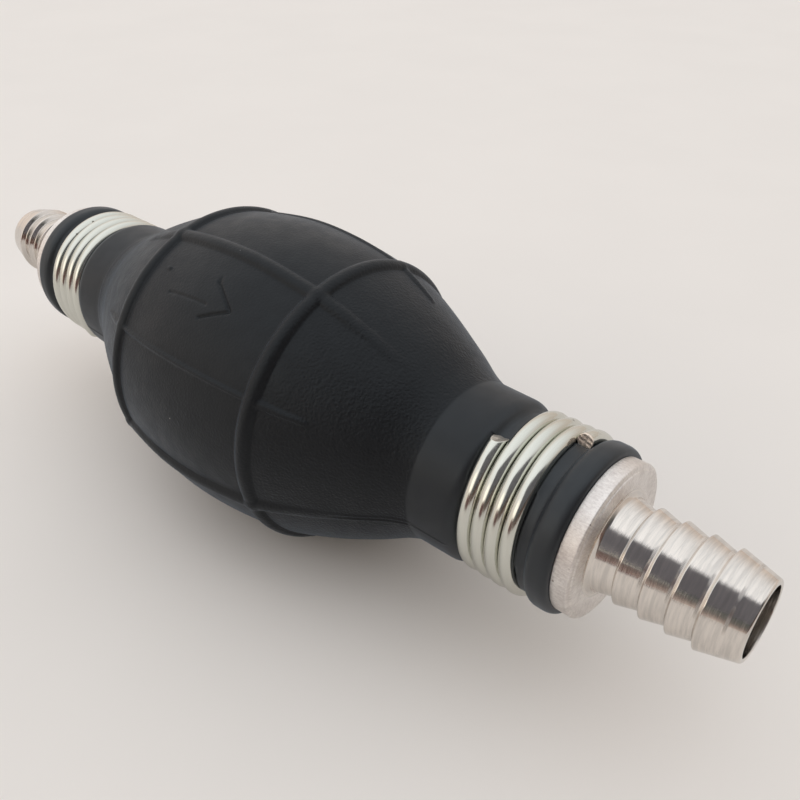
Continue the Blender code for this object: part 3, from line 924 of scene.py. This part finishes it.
def build_fitting(end, side, material):
    """A hose fitting, spun from its CAD outline, which is first turned to run from the rim."""
    outline, closed = cad_outline(end + "_fitting")
    at_rim = next(i for i, point in enumerate(outline) if on_rim(*point))
    comes_from_rim = outline[at_rim - 1][1] > outline[at_rim][1]
    if not comes_from_rim:
        outline = outline[::-1]
    turned_piece(end + "_hose_fitting", with_rim_step(outline, side), closed, material,
                 "root", end + "_fitting", TURNED_SIDES)


def build_insides(nylon, seal, steel):
    """Valve pieces: turned ones are spun again finely, stamped ones keep their CAD solids."""
    turned = [(end + part, end + "_valve", slot, material)
              for end in ("inlet", "outlet")
              for part, slot, material in (("_poppet", "white_nylon", nylon),
                                           ("_poppet_seal", "seal_rubber", seal))]
    turned += [("outlet_seat_ring", "root", "white_nylon", nylon),
               ("outlet_seat_o_ring", "root", "seal_rubber", seal)]
    for node, body, slot, material in turned:
        outline, closed = cad_outline(node)
        turned_piece(node + "_fine", outline, closed, material, body, node, SMALL_SIDES)
    kept = [("inlet_spring_retainer", nylon), ("outlet_stem_guide", nylon),
            ("inlet_retaining_ring", steel), ("outlet_retaining_ring", steel)]
    for node, material in kept:
        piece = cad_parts[node]
        piece.data.materials.clear()
        piece.data.materials.append(material)
        soften = piece.modifiers.new("soft_edges", "BEVEL")
        soften.width = EDGE_ROUND * MM
        soften.segments = 2
        soften.limit_method = "ANGLE"
        soften.angle_limit = math.radians(BEVEL_FROM)


# ----------------------------------------------------------------------- stage

def direction(azimuth, elevation):
    """A unit vector; azimuth 0 is -Y and 90 is +X."""
    a, e = math.radians(azimuth), math.radians(elevation)
    return Vector((math.sin(a) * math.cos(e), -math.cos(a) * math.cos(e), math.sin(e)))


def patch(nodes, ray, azimuth, elevation, half_width, half_height, softness):
    """1 inside an oval patch of sky, and the height within it from -1 to 1."""
    centre = direction(azimuth, elevation)
    right = centre.cross(Vector((0, 0, 1))).normalized()
    up = right.cross(centre)
    u = nodes.math("DIVIDE", nodes.dot(ray, right), math.sin(math.radians(half_width)))
    v = nodes.math("DIVIDE", nodes.dot(ray, up), math.sin(math.radians(half_height)))
    oval = nodes.math("SQRT", nodes.math("ADD", nodes.math("MULTIPLY", u, u),
                                         nodes.math("MULTIPLY", v, v)))
    inside = nodes.ramp(oval, 1 + softness, 1 - softness)
    facing = nodes.math("GREATER_THAN", nodes.dot(ray, centre), 0.0)
    return nodes.math("MULTIPLY", inside, facing), v


def studio_world():
    """Soft light from all round, a brighter window patch and a dark part of the room."""
    world = bpy.data.worlds.new("studio")
    world.use_nodes = True
    nodes = Nodes(world.node_tree)
    ray = nodes.add("ShaderNodeTexCoord").outputs["Generated"]
    height = nodes.dot(ray, Vector((0, 0, 1)))
    room = nodes.mix(nodes.ramp(height, 0.0, 0.9), ROOM_LOW, ROOM_HIGH)
    gain = nodes.ramp(nodes.dot(ray, direction(*LIGHT_SIDE)), -1.0, 1.0, *LIGHT_GAIN)
    dark, dark_v = patch(nodes, ray, *DARK_PATCH)
    shade = nodes.mix(nodes.ramp(dark_v, -0.7, 0.1), DARK_LOW, DARK_HIGH)
    room = nodes.mix(dark, nodes.scale(room, gain), shade)
    window, _ = patch(nodes, ray, *WINDOW_PATCH)
    room = nodes.mix(window, room, WINDOW)
    seen = nodes.add("ShaderNodeLightPath").outputs["Is Camera Ray"]
    room = nodes.mix(seen, room, BACKDROP)
    background = world.node_tree.nodes["Background"]
    nodes.tree.links.new(room, background.inputs["Color"])
    background.inputs["Strength"].default_value = LIGHT_STRENGTH
    bpy.context.scene.world = world


def soft_edges(nodes, width, height):
    """1 within a card, falling to 0 over its soft edges."""
    split = nodes.add("ShaderNodeSeparateXYZ", {"Vector": nodes.place()})
    across = nodes.math("ABSOLUTE", split.outputs["X"])
    along = nodes.math("ABSOLUTE", split.outputs["Y"])
    return nodes.math("MULTIPLY", nodes.ramp(across, width / 2, width / 2 - CARD_EDGE),
                      nodes.ramp(along, height / 2, height / 2 - CARD_EDGE))


def stage_plane(name, width, height, colour, roughness, mirrored=1.0):
    """A flat stage piece and its material; mirrored is how bright it looks in a reflection."""
    mesh = bpy.data.meshes.new(name)
    x, y = width / 2 * MM, height / 2 * MM
    mesh.from_pydata([(-x, -y, 0), (x, -y, 0), (x, y, 0), (-x, y, 0)], [], [(0, 1, 2, 3)])
    plane = bpy.data.objects.new(name, mesh)
    bpy.context.collection.objects.link(plane)
    material, nodes, shader = new_material(name)
    faint = nodes.varied(nodes.noise(nodes.place(), 0.02, 3), 0.985, 1.0)
    reflected = nodes.add("ShaderNodeLightPath").outputs["Is Glossy Ray"]
    light = nodes.math("MULTIPLY", faint, nodes.ramp(reflected, 0.0, 1.0, 1.0, mirrored))
    feed(nodes, shader, Base_Color=nodes.scale(colour, light), Roughness=roughness,
         Specular_IOR_Level=0.25)
    plane.data.materials.append(material)
    return plane, nodes, shader


def camera_axes():
    """The camera's viewing direction, right and up."""
    forward = -direction(CAMERA_AZIMUTH, CAMERA_ELEVATION)
    right = forward.cross(Vector((0, 0, 1))).normalized()
    return forward, right, right.cross(forward)


def reflected_card(name, width, height, colour, place, right, up):
    """A card that only shows as a reflection in the shiny parts."""
    card, nodes, shader = stage_plane(name, width, height, colour, 0.7)
    feed(nodes, shader, Alpha=soft_edges(nodes, width, height))
    turn = Matrix((right, up, right.cross(up))).transposed().to_4x4()
    card.matrix_world = Matrix.Translation(place * MM) @ turn
    card.visible_camera = False
    card.visible_diffuse = False
    card.visible_shadow = False


def build_stage():
    """The table, and the cards that give the metal something dark to mirror."""
    floor, _, _ = stage_plane("table", TABLE_SIZE, TABLE_SIZE, TABLE_COLOUR, 0.6, TABLE_MIRRORED)
    floor.location.z = TABLE_Z * MM
    forward, right, up = camera_axes()
    place = Vector(CAMERA_PLACE) - forward * GREY_BEHIND + right * GREY_RIGHT + up * GREY_UP
    reflected_card("dark_card", GREY_WIDTH, GREY_HEIGHT, GREY, place, right, up)
    up = Vector((0, 0, 1))
    away = direction(BROWN_AZIMUTH, 0)
    place = away * BROWN_DISTANCE + up * (TABLE_Z + BROWN_HEIGHT / 2 + 1)
    reflected_card("brown_card", BROWN_WIDTH, BROWN_HEIGHT, BROWN, place, away.cross(up), up)


def build_camera():
    forward, _, _ = camera_axes()
    data = bpy.data.cameras.new("camera")
    data.lens, data.sensor_width = CAMERA_LENS, CAMERA_SENSOR
    data.clip_start, data.clip_end = 0.005, 20.0
    camera = bpy.data.objects.new("camera", data)
    camera.location = Vector(CAMERA_PLACE) * MM
    camera.rotation_euler = forward.to_track_quat("-Z", "Y").to_euler()
    bpy.context.collection.objects.link(camera)
    bpy.context.scene.camera = camera


# ------------------------------------------------------------------------ main

def main():
    aluminium, zinc, steel = turned_aluminium(), zinc_plated_wire(), spring_steel()
    nylon, seal = white_nylon(), seal_rubber()
    build_bulb(bulb_rubber())
    build_clamp("outlet_wire_clamp", "outlet_clamp", 1, zinc)
    build_clamp("inlet_wire_clamp", "inlet_clamp", -1, zinc)
    build_fitting("outlet", 1, aluminium)
    build_fitting("inlet", -1, aluminium)
    build_insides(nylon, seal, steel)
    for end in ("inlet", "outlet"):
        build_valve_spring(end, steel)
    studio_world()
    build_stage()
    build_camera()
    bpy.context.scene.view_settings.view_transform = "Standard"


main()
